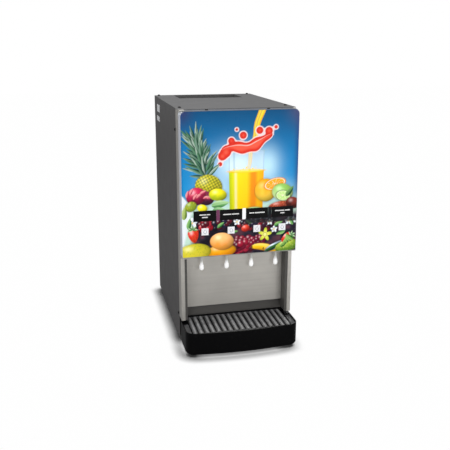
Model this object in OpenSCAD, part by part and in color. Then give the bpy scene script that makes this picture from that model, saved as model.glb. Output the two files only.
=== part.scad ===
// Countertop chilled juice dispenser: four flavours, push-button door, pull-out drip tray.
// Millimetres. X is the width, -Y is the front, +Z is up.
// The origin is the middle of the footprint at counter level.

/* [Cabinet] */
// Width of the cabinet
cabinet_w = 404; // [400:1:412]
// Height from the counter to the top
cabinet_h = 843; // [840:1:860]
// Depth of the cabinet behind the front frame
side_d = 540; // [538:1:545]
// Depth of the front frame, from the cabinet to the post faces
frame_d = 50; // [48:1:52]
// Thickness of the sheet metal
sheet = 1.5; // [1:0.1:2]
// Height of the cabinet feet
foot_h = 12; // [12:1:14]

/* [Door] */
// Height of the door's lower edge above the counter
door_z = 345; // [344:1:348]
// Room from the post faces to the door's front face
door_d = 41; // [40:1:43]
// Radius of the door's upper corners
corner_r = 16; // [12:1:24]

/* [Controls] */
// Distance between two flavours
column_pitch = 91; // [88:1:91]
// Shift of the flavours from the centre line
column_shift = 13; // [10:1:14]
// Side of a push-button
button_side = 24; // [20:1:26]
// Height of the push-buttons' centres
button_z = 436; // [434:1:438]
// Height of the flavour cards' centres
card_z = 491; // [486:1:494]
// Height of the nozzle tips
nozzle_z = 276; // [270:1:280]

/* [Drip tray] */
// Reach of the tray in front of the door
tray_reach = 71; // [69:1:73]
// Height of the tray's rim
rim_z = 90; // [88:1:92]

/* [Hidden] */
$fn = 48;

gap = 0.2;                                   // room between neighbouring fixed pieces
half_w = cabinet_w / 2;
door_y = -(side_d + frame_d + door_d + tray_reach) / 2 + tray_reach;
back_y = door_y + door_d + frame_d + side_d;
side_y = back_y - side_d;                    // front edge of the side panels
face_y = side_y - frame_d;                   // front of the posts
tray_y = door_y - tray_reach;                // front of the drip tray
body_z = foot_h;                             // underside of the cabinet
columns = [for (i = [0:3]) column_shift + (i - 1.5) * column_pitch];
pump_pitch = 80;
pump_xs = [for (i = [0:3]) (i - 1.5) * pump_pitch];

// front frame and dispensing bay
post_w = 12;
post_z = rim_z + 8;                          // lower end of the posts
ceiling_z = door_z + 10;                     // ceiling of the bay
frame_top = cabinet_h - sheet - gap;         // under the top cover
trim_w = 8.3;                                // width of the dark trims beside the posts
trim_x = half_w - post_w - sheet - gap - trim_w;
splash_y = side_y - 6;                       // front face of the splash panel
splash_z = 131;                              // lower edge of the splash panel
nozzle_y = splash_y - 18;
open_x = 168;                                // half width of the door opening
open_z0 = 390;                               // sill of the door opening
open_z1 = 808;                               // head of the door opening
collar_z = open_z0 - sheet;
chamber_r = 14;

// door
door_back = face_y - 2;
hinge_x = -half_w + 9;
hinge_y = door_back - 24;
hinge_r = 4;
hinge_plate_t = 1.2;                         // thickness of the upper hinge plate
running = 0.06;                              // radial room of a turning shaft
door_top = cabinet_h - hinge_plate_t - 0.3;
door_round = 2;                              // rounding of the door's top and bottom front edges
print_x = half_w - 1;
print_z0 = door_z + 3.5;
print_z1 = door_top - door_round;
print_t = 2.5;
print_r = corner_r - 1;                      // upper corners of the print
window_x = 188;
window_z0 = 374;
window_z1 = 820;

// drip tray
riser_y = side_y + 13;                       // front face of the panel behind the tray
tray_back = riser_y - 2.5;
tray_z = 10;
grille_z = rim_z - 2;

// refrigeration
bath_x = 160;
bath_y0 = 60;
bath_y1 = 335;
bath_z0 = 300;
bath_z1 = 620;
bath_wall = 14;
bath_cy = (bath_y0 + bath_y1) / 2;
fan_cy = 257;

module box(a, b) {
    translate(a) cube([b[0] - a[0], b[1] - a[1], b[2] - a[2]]);
}

module rod_x(p, r, length) {
    translate(p) rotate([0, 90, 0]) cylinder(r = r, h = length);
}

module rod_y(p, r, length) {
    translate(p) rotate([-90, 0, 0]) cylinder(r = r, h = length);
}

module rod_z(p, r, length) {
    translate(p) cylinder(r = r, h = length);
}

// A rectangle from corner a to corner b with four rounded corners
module round_rect(a, b, r) {
    translate([a[0] + r, a[1]]) square([b[0] - a[0] - 2 * r, b[1] - a[1]]);
    translate([a[0], a[1] + r]) square([b[0] - a[0], b[1] - a[1] - 2 * r]);
    for (x = [a[0] + r, b[0] - r], y = [a[1] + r, b[1] - r])
        translate([x, y]) circle(r = r);
}

// A round rod from point p to point q
module link(p, q, r) {
    d = q - p;
    length = norm(d);
    translate(p)
        rotate([0, acos(d[2] / length), atan2(d[1], d[0])])
            cylinder(r = r, h = length, $fn = 24);
}

// A bent pipe through a list of points
module pipe(points, r) {
    for (i = [1:len(points) - 1]) link(points[i - 1], points[i], r);
    for (i = [1:len(points) - 2]) translate(points[i]) sphere(r = r + 0.5, $fn = 24);
}

// ---------------------------------------------------------------- cabinet shell

module base_pan() {
    color("dimgray") difference() {
        box([-half_w + 3.2, riser_y + 3, body_z], [half_w - 3.2, back_y - sheet - gap, body_z + 28]);
        box([-half_w + 4.7, riser_y + 4.5, body_z + sheet],
            [half_w - 4.7, back_y - 2 * sheet - gap, body_z + 40]);
    }
}

// One side panel on the left; the right one is its mirror image
module side_panel() {
    x0 = -half_w;
    difference() {
        union() {
            box([x0, side_y, body_z], [x0 + sheet, back_y, frame_top]);
            box([x0 + sheet, side_y + 0.1, post_z], [x0 + 16, side_y + 0.1 + sheet, cabinet_h - 3]);
        }
        for (z = side_screw_zs()) rod_x([x0 - 1, side_y + 10, z], 4.8, 4);
        for (z = [82, 110]) box([x0 - 1, back_y - 26, z], [x0 + 3, back_y - 18, z + 6]);
    }
}

function side_screw_zs() = [106, 772];

module left_side_panel() {
    color("dimgray") side_panel();
}

module right_side_panel() {
    color("dimgray") mirror([1, 0, 0]) side_panel();
}

pocket_x0 = -180;
pocket_x1 = -20;
pocket_z0 = 50;
pocket_z1 = 110;
pocket_y = back_y - 28;                      // back wall of the service pocket
inlet_x = -150;
gland_x = -105;
rocker_x = -55;
service_z = (pocket_z0 + pocket_z1) / 2;

module rear_panel() {
    color("dimgray") difference() {
        union() {
            box([-half_w + sheet + gap, back_y - sheet, body_z + 1],
                [half_w - sheet - gap, back_y, frame_top]);
            box([pocket_x0, pocket_y, pocket_z0], [pocket_x1, back_y, pocket_z1]);
        }
        box([pocket_x0 + sheet, pocket_y + sheet, pocket_z0 + sheet],
            [pocket_x1 - sheet, back_y + 1, pocket_z1 - sheet]);
        rod_y([inlet_x, pocket_y - 1, service_z], 8.2, 5);
        rod_y([gland_x, pocket_y - 1, service_z], 9.2, 5);
        box([rocker_x - 11, pocket_y - 1, service_z - 14.5],
            [rocker_x + 11, pocket_y + 5, service_z + 14.5]);
        for (row = [0:11], side = [-1, 1])
            box([side * 85 - 60, back_y - 3, 640 + row * 14], [side * 85 + 60, back_y + 1, 646 + row * 14]);
    }
}

vent_x = 128;
vent_y0 = 182;
vent_y1 = 332;
vent_depth = 16;

module top_cover() {
    z0 = cabinet_h - sheet;
    color("gray") difference() {
        union() {
            box([-half_w, face_y, z0], [half_w, back_y, cabinet_h]);
            for (side = [-1, 1])
                box([side * (half_w - sheet - 0.9) - 0.7, side_y + 3, cabinet_h - 18],
                    [side * (half_w - sheet - 0.9) + 0.7, back_y - 3, z0 + 0.5]);
            box([-vent_x, vent_y0, cabinet_h - vent_depth - sheet], [vent_x, vent_y1, cabinet_h]);
        }
        box([-vent_x + sheet, vent_y0 + sheet, cabinet_h - vent_depth],
            [vent_x - sheet, vent_y1 - sheet, cabinet_h + 1]);
        box([-vent_x + 7, vent_y0 + 7, cabinet_h - vent_depth - 5],
            [vent_x - 7, vent_y1 - 7, cabinet_h + 1]);
        for (p = top_screws()) rod_z([p[0], p[1], z0 - 1], 4.8, 4);
    }
}

function top_screws() = [
    [-half_w + 16, side_y + 14], [half_w - 16, side_y + 14],
    [-half_w + 16, back_y - 14], [half_w - 16, back_y - 14]
];

module top_vent_grille() {
    z0 = cabinet_h - vent_depth + 0.1;
    x = vent_x - sheet - gap;
    y0 = vent_y0 + sheet + gap;
    y1 = vent_y1 - sheet - gap;
    pitch = (y1 - y0 - 8) / 15;
    color("black") {
        difference() {
            box([-x, y0, z0], [x, y1, z0 + 4]);
            box([-x + 6, y0 + 6, z0 - 1], [x - 6, y1 - 6, z0 + 5]);
        }
        for (i = [1:14])
            translate([0, y0 + 4 + i * pitch, z0]) box([-x + 1, -1.5, 0], [x - 1, 1.5, 6]);
        for (xr = [-60, 0, 60]) box([xr - 2, y0 + 1, z0], [xr + 2, y1 - 1, z0 + 3]);
    }
}

module front_frame() {
    back = side_y - 0.1;
    bay_x = half_w - post_w - sheet;
    color("silver") difference() {
        box([-half_w, face_y, post_z], [half_w, back, frame_top]);
        // hollow posts, jambs and head, open at the back
        for (side = [-1, 1])
            translate([side * (bay_x + half_w) / 2, 0, 0])
                box([(bay_x - half_w) / 2 + sheet, face_y + sheet, post_z + sheet],
                    [(half_w - bay_x) / 2 - sheet, back + 1, ceiling_z + 20]);
        difference() {
            box([-half_w + sheet, face_y + sheet, ceiling_z + sheet],
                [half_w - sheet, back + 1, frame_top - sheet]);
            box([-open_x - sheet, face_y, collar_z], [open_x + sheet, back + 2, open_z1 + sheet]);
        }
        // door opening
        box([-open_x, face_y - 1, open_z0], [open_x, back + 2, open_z1]);
        // dispensing bay below the ceiling
        box([-bay_x, face_y - 1, post_z - 1], [bay_x, back + 1, ceiling_z]);
        for (x = columns) rod_z([x, nozzle_y, ceiling_z - 1], chamber_r + 1.2, 40);
    }
}

module splash_panel() {
    x = trim_x - gap;
    color("lightgray") {
        box([-x, splash_y, splash_z], [x, splash_y + 1.2, ceiling_z - gap]);
        box([-x, splash_y, splash_z], [x, splash_y + 10, splash_z + 1.2]);
    }
}

module bay_side_trims() {
    x = half_w - post_w - sheet - gap;
    color("#3a3a3c") for (side = [-1, 1]) {
        box([side * (x - trim_w / 2) - trim_w / 2, face_y + 2, post_z + 1],
            [side * (x - trim_w / 2) + trim_w / 2, face_y + 3.5, ceiling_z - gap]);
        box([side * (trim_x + 0.75) - 0.75, face_y + 2, post_z + 1],
            [side * (trim_x + 0.75) + 0.75, side_y + 6, ceiling_z - gap]);
    }
}

module lower_front_panel() {
    x = half_w - 4;
    top = splash_z + 19;
    notch_x = half_w - 8;                    // the posts' back edges pass through the corner notches
    color("#444444") difference() {
        box([-x, riser_y, body_z + 1], [x, riser_y + sheet, top]);
        for (side = [-1, 1])
            box([side * notch_x - 8, riser_y - 1, post_z - 2], [side * notch_x + 8, riser_y + 3, top + 1]);
    }
}

module feet() {
    color("black") for (x = [-168, 168], y = [side_y + 42, back_y - 42]) {
        rod_z([x, y, 0], 17, 3);
        translate([x, y, 3]) cylinder(r1 = 17, r2 = 13, h = foot_h - 3);
    }
}

module screw(r_head, t_head, r_shank, length) {
    difference() {
        cylinder(r = r_head, h = t_head);
        translate([-0.6, -r_head * 0.6, t_head - 0.6]) cube([1.2, r_head * 1.2, 2]);
        translate([-r_head * 0.6, -0.6, t_head - 0.6]) cube([r_head * 1.2, 1.2, 2]);
    }
    translate([0, 0, -length]) cylinder(r = r_shank, h = length + 0.1);
}

module panel_screws() {
    color("#202020") {
        for (p = top_screws()) translate([p[0], p[1], cabinet_h - sheet]) screw(4.6, sheet, 2, 8);
        for (side = [-1, 1], z = side_screw_zs())
            translate([side * (half_w - sheet), side_y + 10, z])
                rotate([0, side * 90, 0]) screw(4.6, sheet, 2, 6);
    }
}

// ---------------------------------------------------------------- product compartment

liner_wall = 14;
shelf_z = 492;
jug_w = 76;
jug_y0 = side_y + 13;
jug_y1 = 9;
jug_h = 288;
neck_y = side_y + 54;
neck_r = 15;
pump_z = 440;
pump_r = 26;
pump_y0 = neck_y - 15;
pump_len = 30;

module compartment_liner() {
    y0 = side_y + 2.1;
    y1 = jug_y1 + 31;
    color("white") {
        difference() {
            box([-open_x - liner_wall, y0, open_z0 - liner_wall],
                [open_x + liner_wall, y1, open_z1 + liner_wall]);
            box([-open_x, y0 - 1, open_z0], [open_x, y1 - liner_wall, open_z1]);
        }
        difference() {
            box([-open_x - 1, y0 + 8, shelf_z], [open_x + 1, y1 - liner_wall + 1, shelf_z + 5]);
            for (x = pump_xs) rod_z([x, neck_y, shelf_z - 1], neck_r + 6, 8);
        }
    }
}

module concentrate_jug() {
    z0 = shelf_z + 5.2;
    difference() {
        translate([0, 0, z0])
            linear_extrude(jug_h) round_rect([-jug_w / 2, jug_y0], [jug_w / 2, jug_y1], 12);
        // hand hold through the top of the jug
        rod_x([-50, jug_y1 - 45, z0 + jug_h - 28], 13, 100);
        rod_x([-50, jug_y1 - 75, z0 + jug_h - 28], 13, 100);
        box([-50, jug_y1 - 75, z0 + jug_h - 41], [50, jug_y1 - 45, z0 + jug_h - 15]);
    }
    rod_z([0, neck_y, z0 - 19], neck_r, 20);
}

module concentrate_jugs() {
    color("#f4f1e6") for (x = pump_xs) translate([x, 0, 0]) concentrate_jug();
}

module jug_caps() {
    z0 = shelf_z - 19;
    color("#2b2b2b") for (x = pump_xs) translate([x, neck_y, 0]) {
        difference() {
            rod_z([0, 0, z0], neck_r + 4.5, 17);
            rod_z([0, 0, z0 + 3], neck_r + 0.1, 20);
        }
        rod_z([0, 0, z0 - 2.5], 4, 4);
    }
}

module pump_housings() {
    color("#dcdcdc") for (x = pump_xs) translate([x, pump_y0, pump_z]) difference() {
        union() {
            rod_y([0, 0, 0], pump_r, pump_len);
            rod_z([0, 15, 0], 6, pump_r + 3.5);
            rod_y([0, -6, -pump_r + 9], 5.5, 8);
        }
        rod_y([0, 3, 0], pump_r - 4, pump_len);
    }
}

module pump_motors() {
    color("#5c6066") for (x = pump_xs) translate([x, pump_y0 + pump_len + 0.2, pump_z]) difference() {
        union() {
            rod_y([0, 0, 0], pump_r - 1, 12);
            rod_y([0, 12, 0], pump_r - 6, 58);
            rod_y([0, 70, 0], 6, 5);
        }
        rod_y([0, -1, 0], 3 + running, 26);
    }
}

// Three rollers on a hub that squeeze the hose, on a shaft into the motor
module pump_rotor(i) {
    color("#e8e4d8") translate([pump_xs[i], pump_y0, pump_z]) {
        rod_y([0, 4, 0], 19, 3);
        rod_y([0, 6, 0], 7, 22);
        rod_y([0, 27, 0], 3, 26);
        for (a = [0:120:359]) rotate([0, a, 0]) rod_y([13, 6, 0], 5, 20);
    }
}

// Hoses from the pumps to the mixing chambers, with an elbow at each bend
module concentrate_tubes() {
    tube_r = 4.5;
    elbow_r = 6.5;
    z = pump_z - pump_r + 9;
    pump_end = pump_y0 - 6.2;
    chamber_end = nozzle_y + chamber_r + gap;
    color("#e9e2c8") for (i = [0:3]) {
        p = [pump_xs[i], pump_end - 9.8, z];
        q = [columns[i], chamber_end + 13.8, z];
        rod_y(p, tube_r, pump_end - p[1]);
        link(p, q, tube_r);
        rod_y([q[0], chamber_end, z], tube_r, q[1] - chamber_end);
        for (bend = [p, q]) rod_z(bend - [0, 0, elbow_r], elbow_r, 2 * elbow_r);
    }
}

// ---------------------------------------------------------------- dispensing

spigot_r = 9.5;
spigot_z = ceiling_z - 20;
chamber_z = ceiling_z - 11;                  // underside of the mixing chambers

module mixing_chambers() {
    color("#3d3f42") for (x = columns) translate([x, nozzle_y, 0]) {
        rod_z([0, 0, chamber_z], chamber_r, 79);
        rod_z([0, 0, open_z0 + gap], chamber_r + 3, 3.5);
        rod_z([0, 0, spigot_z], spigot_r, 10);
        rod_z([0, 0, chamber_z + 78], 7, 8);
    }
}

// Drop-shaped dispensing tip that pushes up onto the mixing chamber's spigot
module nozzle(i) {
    cup_z = spigot_z - 3;                    // underside of the cup around the spigot
    cup_top = chamber_z - 0.8;
    color("white") translate([columns[i], nozzle_y, 0]) difference() {
        rotate_extrude() polygon([
            [0, nozzle_z], [4.5, nozzle_z], [7, nozzle_z + 3], [8.2, nozzle_z + 8], [7.8, nozzle_z + 14],
            [5.4, nozzle_z + 24], [4.3, nozzle_z + 34], [4.3, cup_z - 4], [5.5, cup_z - 1.5], [13, cup_z],
            [13, cup_top], [0, cup_top]
        ]);
        rod_z([0, 0, spigot_z - 1], spigot_r + running, 20);
        rod_z([0, 0, nozzle_z - 1], 2.5, 80);
    }
}

valve_y = splash_y + 45;
valve_z = 270;

module solenoid_valves() {
    color("#c9c9c4") for (x = columns) translate([x, valve_y, valve_z]) {
        box([-13, -17, 0.2], [13, 17, 24]);
        rod_z([0, 4, 23], 12, 22);
        rod_z([0, -11, 23], 4, 30);
    }
}

module water_manifold() {
    x0 = columns[0] - 20;
    x1 = columns[3] + 14;
    color("#e6e6e6") {
        rod_x([x0, valve_y, valve_z - 11], 10, x1 - x0);
        for (x = columns) rod_z([x, valve_y, valve_z - 5], 6, 5);
        for (x = columns)
            pipe([[x, valve_y - 11, valve_z + 53.2], [x, valve_y - 11, open_z0 - 22],
                  [x, nozzle_y + chamber_r + 0.2, open_z0 - 22]], 4);
        pipe([[x0 + 8, valve_y, valve_z - 20], [x0 + 8, valve_y + 30, valve_z - 90],
              [inlet_x, valve_y + 60, service_z], [inlet_x, pocket_y - 13, service_z]], 5);
    }
}

// ---------------------------------------------------------------- refrigeration

module water_bath_tank() {
    color("#d8d8d6") difference() {
        box([-bath_x, bath_y0, bath_z0], [bath_x, bath_y1, bath_z1]);
        box([-bath_x + bath_wall, bath_y0 + bath_wall, bath_z0 + bath_wall],
            [bath_x - bath_wall, bath_y1 - bath_wall, bath_z1 - bath_wall]);
        rod_z([0, bath_cy, bath_z1 - bath_wall - 1], 12, bath_wall + 2);
    }
}

module evaporator_coil() {
    color("#b87333") for (i = [0:9]) translate([0, bath_cy, bath_z0 + 40 + i * 24])
        rotate_extrude() translate([100, 0]) circle(r = 5, $fn = 24);
}

shaft_r = 4;

module agitator_motor() {
    color("#4d5157") translate([0, bath_cy, 0]) difference() {
        union() {
            box([-40, -40, bath_z1 + 0.2], [40, 40, bath_z1 + 4]);
            rod_z([0, 0, bath_z1 + 3], 34, 62);
        }
        rod_z([0, 0, bath_z1 - 1], shaft_r + running, 42);
    }
}

module agitator_rotor() {
    color("#c0c4c8") translate([0, bath_cy, 0]) {
        rod_z([0, 0, bath_z0 + 60], shaft_r, bath_z1 - bath_z0 - 30);
        rod_z([0, 0, bath_z0 + 56], 9, 16);
        for (a = [0:120:359]) rotate([0, 0, a]) translate([7, 0, bath_z0 + 64])
            rotate([28, 0, 0]) box([0, -9, -1], [32, 9, 1]);
    }
}

compressor_x = -55;
compressor_y = 215;

module compressor() {
    color("#1d1f22") translate([compressor_x, compressor_y, body_z + sheet + 0.2]) {
        box([-88, -68, 0], [88, 68, 4]);
        for (x = [-74, 74], y = [-54, 54]) rod_z([x, y, 3], 9, 10);
        rotate_extrude() polygon([
            [0, 3], [60, 3], [66, 14], [72, 40], [74, 82], [74, 92], [78, 92], [78, 98], [74, 98],
            [72, 125], [62, 152], [42, 166], [0, 170]
        ]);
    }
}

module condenser() {
    z0 = 702;
    fins = 24;
    color("#9aa0a6") {
        for (i = [0:fins - 1]) translate([-112 + i * 224 / (fins - 1) - 0.5, 188, z0]) cube([1, 140, 28]);
        for (y = [202, 230, 258, 286, 314], z = [z0 + 8, z0 + 20]) rod_x([-116, y, z], 4, 232);
        for (side = [-1, 1]) box([side * 117 - 1, 186, z0 - 1], [side * 117 + 1, 330, z0 + 29]);
    }
}

module fan_motor() {
    color("#33363a") translate([0, fan_cy, 0]) difference() {
        union() {
            rod_z([0, 0, 735], 22, 36);
            for (a = [45:90:359]) rotate([0, 0, a]) box([18, -5, 738], [72, 5, 742]);
            for (a = [45:90:359]) rotate([0, 0, a]) box([69, -5, 738], [72, 5, 774.8]);
        }
        rod_z([0, 0, 755], 3 + running, 20);
    }
}

module fan_shroud() {
    color("#2b2d30") difference() {
        union() {
            box([-120, 184, 797], [120, 330, 799]);
            rod_z([0, fan_cy, 775], 72.5, 23);
        }
        rod_z([0, fan_cy, 770], 66, 40);
    }
}

module fan_blade() {
    color("#c8ccd0") translate([0, fan_cy, 0]) {
        rod_z([0, 0, 758], 3, 24);
        rod_z([0, 0, 778], 18, 14);
        for (a = [0:72:359]) rotate([0, 0, a]) translate([15, 0, 785])
            rotate([32, 0, 0]) box([0, -13, -0.8], [45, 13, 0.8]);
    }
}

module refrigerant_lines() {
    x = -bath_x - 21;
    z0 = body_z + 173;
    color("#b06a38") {
        pipe([[compressor_x, compressor_y - 30, z0], [compressor_x, compressor_y - 30, 235],
              [x, compressor_y - 30, 265], [x, compressor_y - 30, 716], [-118.3, compressor_y - 30, 716]], 4);
        pipe([[compressor_x + 30, compressor_y, z0], [compressor_x + 30, compressor_y, 250],
              [x, compressor_y + 60, 280], [x, compressor_y + 60, 400]], 4);
        rod_z([x, compressor_y + 60, 398], 12, 110);
        pipe([[x, compressor_y + 60, 507], [x, compressor_y + 60, 560],
              [-bath_x - 0.2, compressor_y + 60, 560]], 4);
    }
}

module control_box() {
    color("#8b8e90") {
        difference() {
            box([40, 60, body_z + 12], [182, 200, 200]);
            box([42, 62, body_z + 14], [180, 198, 210]);
        }
        box([40, 60, 200.2], [182, 200, 202]);
        box([60, 80, body_z + 20], [162, 180, body_z + 22]);
        for (x = [70, 105, 140], y = [95, 130, 165])
            translate([x, y, body_z]) box([-8, -8, 21], [8, 8, 40]);
        for (x = [70, 150], y = [90, 170]) rod_z([x, y, body_z + 13], 3, 8);
    }
}

// ---------------------------------------------------------------- services

inlet_r = 7.94;

module water_inlet_fitting() {
    color("#b08d57") difference() {
        union() {
            rod_y([inlet_x, pocket_y - 12, service_z], inlet_r - 1, 20);
            rod_y([inlet_x, pocket_y + 5.7, service_z], inlet_r, 18.3);
            for (y = [pocket_y - 4.2, pocket_y + 1.7])
                translate([inlet_x, y, service_z]) rotate([-90, 30, 0]) cylinder(r = 12, h = 4, $fn = 6);
        }
        rod_y([inlet_x, pocket_y + 5, service_z], 4.5, 30);
    }
}

module cord_gland() {
    color("#1a1a1a") {
        rod_y([gland_x, pocket_y - 5, service_z], 9, 18);
        rod_y([gland_x, pocket_y + 1.7, service_z], 12, 5);
        rod_y([gland_x, pocket_y + 12, service_z], 5, 15);
    }
}

module power_rocker() {
    color("#7a1414") translate([rocker_x, pocket_y + 0.75, service_z]) {
        box([-10, -6, -13], [10, 5, 13]);
        rod_x([-10, 0, 0], 6, 20);
        box([-10, 4.5, -12], [10, 6.5, -9]);
    }
}

// ---------------------------------------------------------------- door

module hinge_brackets() {
    color("#d0d2d4") {
        for (end = [0, 1]) {
            z = end == 0 ? door_z - 4.7 : cabinet_h - hinge_plate_t;
            t = end == 0 ? 4 : hinge_plate_t;
            difference() {
                box([-half_w, hinge_y - 8, z], [-half_w + 18, face_y - 0.1, z + t]);
                rod_z([hinge_x, hinge_y, z - 1], hinge_r + 0.05, t + 2);
            }
        }
        box([-half_w, face_y - 1.6, door_z - 34], [-half_w + 12, face_y - 0.1, door_z - 1]);
    }
}

module hinge_pins() {
    color("#e0e0e0") {
        rod_z([hinge_x, hinge_y, door_z - 4.7], hinge_r, 20);
        rod_z([hinge_x, hinge_y, cabinet_h - 20], hinge_r, 20);
    }
}

// A flat outline in X and Z, made solid from y0 to y1
module upright(y0, y1) {
    rotate([90, 0, 0]) translate([0, 0, -y1]) linear_extrude(y1 - y0) children();
}

// The door seen from the front: large upper corners, small lower corners
module door_outline(x, z0, z1, r) {
    round_rect([-x, z0 + 50], [x, z1], r);
    round_rect([-x, z0], [x, z1 - 50], 3);
}

// The door's outer form: rounded corners seen from the front, the top and the side
module door_form() {
    intersection() {
        upright(door_y, door_back) door_outline(half_w, door_z, door_top, corner_r);
        translate([0, 0, door_z - 1]) linear_extrude(door_top - door_z + 2) {
            round_rect([-half_w, door_y], [half_w, door_back - 10], 0.8);
            translate([-half_w, door_y + 20]) square([cabinet_w, door_back - door_y - 20]);
        }
        rotate([90, 0, 90]) translate([0, 0, -half_w - 1]) linear_extrude(cabinet_w + 2) {
            round_rect([door_y, door_z], [door_back - 10, door_top], door_round);
            translate([door_y + 20, door_z]) square([door_back - door_y - 20, door_top - door_z]);
        }
    }
}

module door_shell() {
    wall = 2.5;
    color("#a9aeb5") difference() {
        union() {
            difference() {
                door_form();
                upright(door_y + 6, door_back + 1)
                    door_outline(half_w - wall, door_z + wall, door_top - wall, corner_r - wall);
            }
            intersection() {
                upright(hinge_y - 8, hinge_y + 8)
                    door_outline(half_w - 1, door_z + 1, door_top - 1, corner_r - 1);
                for (z = [door_z, door_top - 17])
                    box([-half_w, hinge_y - 9, z], [-half_w + 19, hinge_y + 9, z + 17]);
            }
        }
        upright(door_y - 1, door_y + print_t)
            door_outline(print_x + gap, print_z0 - gap, print_z1 + gap, print_r + gap);
        box([-window_x, door_y - 1, window_z0], [window_x, door_y + 12, window_z1]);
        rod_z([hinge_x, hinge_y, door_z - 1], hinge_r + running, 17.4);
        rod_z([hinge_x, hinge_y, door_top - 19], hinge_r + running, 22);
        for (p = door_screw_spots()) rod_z([p[0], p[1], door_top - 1.2], 4.8, 4);
    }
}

function door_screw_spots() = [for (x = [-112, 98]) [x, door_y + 16]];

module door_screws() {
    color("#202020") for (p = door_screw_spots())
        translate([p[0], p[1], door_top - 1.1]) screw(4.6, 1.1, 0.1, 0);
}

module door_graphic() {
    hole = button_side / 2 + 0.5;
    color("#1f86c4") difference() {
        upright(door_y, door_y + print_t - 0.1) door_outline(print_x, print_z0, print_z1, print_r);
        for (x = columns)
            translate([x, door_y, button_z]) box([-hole, -1, -hole], [hole, 4, hole]);
    }
}

module door_liner() {
    x = half_w - 5;
    color("#f0f0ee") difference() {
        union() {
            upright(door_back - 2.6, door_back - 0.1)
                door_outline(x, door_z + 5, door_top - 5, corner_r - 5);
            box([-open_x + 10, door_back - 1, open_z0 + 10], [open_x - 10, door_back + 14, open_z1 - 10]);
        }
        box([-open_x + 13, door_back - 4, open_z0 + 13], [open_x - 13, door_back + 11, open_z1 - 13]);
        for (z = [door_z + 1, door_top - 17])
            box([-half_w + 1, hinge_y - 9, z - 1], [-half_w + 20, hinge_y + 24, z + 17]);
    }
}

module door_gasket() {
    x = open_x + 16;
    y1 = face_y - 0.3;
    color("#2a2a2a") difference() {
        box([-x, door_back, open_z0 - 16], [x, y1, open_z1 + 14]);
        box([-x + 9, door_back - 1, open_z0 - 7], [x - 9, y1 + 1, open_z1 + 5]);
    }
}

carrier_y0 = door_y + print_t + 0.1;
carrier_y1 = door_y + 19;
stem_r = 3;
travel = 2.5;                                // how far a button goes in
button_proud = 2.8;
stem_end = door_y + 20.6;

module button_carrier() {
    hole = button_side / 2 + 0.3;
    color("#2d2f33") difference() {
        box([-window_x + 0.3, carrier_y0, button_z - 21], [window_x - 0.3, carrier_y1, button_z + 21]);
        for (x = columns) {
            box([x - hole, carrier_y0 - 1, button_z - hole], [x + hole, carrier_y1 - 3, button_z + hole]);
            rod_y([x, carrier_y1 - 5, button_z], stem_r + running, 8);
        }
    }
}

module button(i) {
    s = button_side / 2;
    color("#eeeeee") translate([columns[i], 0, button_z]) {
        box([-s, door_y - button_proud + 1, -s], [s, door_y + 7, s]);
        box([-s + 1, door_y - button_proud, -s + 1], [s - 1, door_y, s - 1]);
        rod_y([0, door_y + 6, 0], stem_r, stem_end - door_y - 6);
    }
}

module door_boards() {
    board_y = stem_end + travel + 3;
    color("#2f6b3c") {
        box([-window_x + 6, board_y, button_z - 18], [window_x - 6, board_y + 1.6, button_z + 18]);
        for (x = columns) box([x - 6, board_y - 2.9, button_z - 6], [x + 6, board_y + 0.5, button_z + 6]);
        for (x = [-120, -40, 40, 120]) {
            box([x - 6, board_y, button_z + 24], [x + 6, board_y + 1.6, window_z1 - 12]);
            for (z = [button_z + 40:30:window_z1 - 20])
                box([x - 2.5, board_y - 1.4, z - 2.5], [x + 2.5, board_y + 0.5, z + 2.5]);
        }
    }
}

module flavour_cards() {
    color("#101012") for (x = columns)
        box([x - 39, door_y - 0.9, card_z - 18.5], [x + 39, door_y - 0.05, card_z + 18.5]);
}

// ---------------------------------------------------------------- drip tray

// Right half of the tray's outline, from the back to the front, set in by the inset
function tray_half(inset) =
    let (
        x_back = half_w - 14 - inset,
        x_side = half_w - inset,
        y_back = tray_back - inset,
        y_wide = side_y - 40,
        r = 34 - inset,
        bow = 12,
        y_corner = tray_y + bow + 34
    )
    concat(
        [[x_back, y_back]],
        [for (a = [0:15:90])
            [x_back + (x_side - x_back) * sin(a), side_y - (side_y - y_wide) * (1 - cos(a))]],
        [for (a = [0:10:80]) [x_side - r * (1 - cos(a)), y_corner - r * sin(a)]],
        [for (k = [0.75, 0.5, 0.25, 0])
            [k * (x_side - r), tray_y + inset + bow * k * k]]
    );

module tray_outline(inset) {
    right = tray_half(inset);
    left = [for (i = [len(right) - 2:-1:0]) [-right[i][0], right[i][1]]];
    polygon(concat(right, left));
}

// The tray's inside, narrow at the back so that the grille lifts out between the posts
module tray_inside(inset) {
    x = trim_x + 2.5 - inset;
    y = face_y - inset;
    difference() {
        tray_outline(inset);
        for (side = [-1, 1])
            translate([side * (x + half_w) / 2 - (half_w - x) / 2, y]) square([half_w - x, tray_back - y]);
    }
}

module drip_tray() {
    color("#0c0c0c") difference() {
        union() {
            translate([0, 0, tray_z + 4]) linear_extrude(rim_z - tray_z - 4) tray_outline(0);
            translate([0, 0, tray_z]) linear_extrude(5) tray_outline(3);
        }
        translate([0, 0, tray_z + 34]) linear_extrude(rim_z) tray_inside(8);
        translate([0, 0, grille_z - 6]) linear_extrude(20) tray_inside(4);
        translate([0, 0, tray_z - 1]) linear_extrude(32) tray_outline(7);
    }
}

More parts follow.
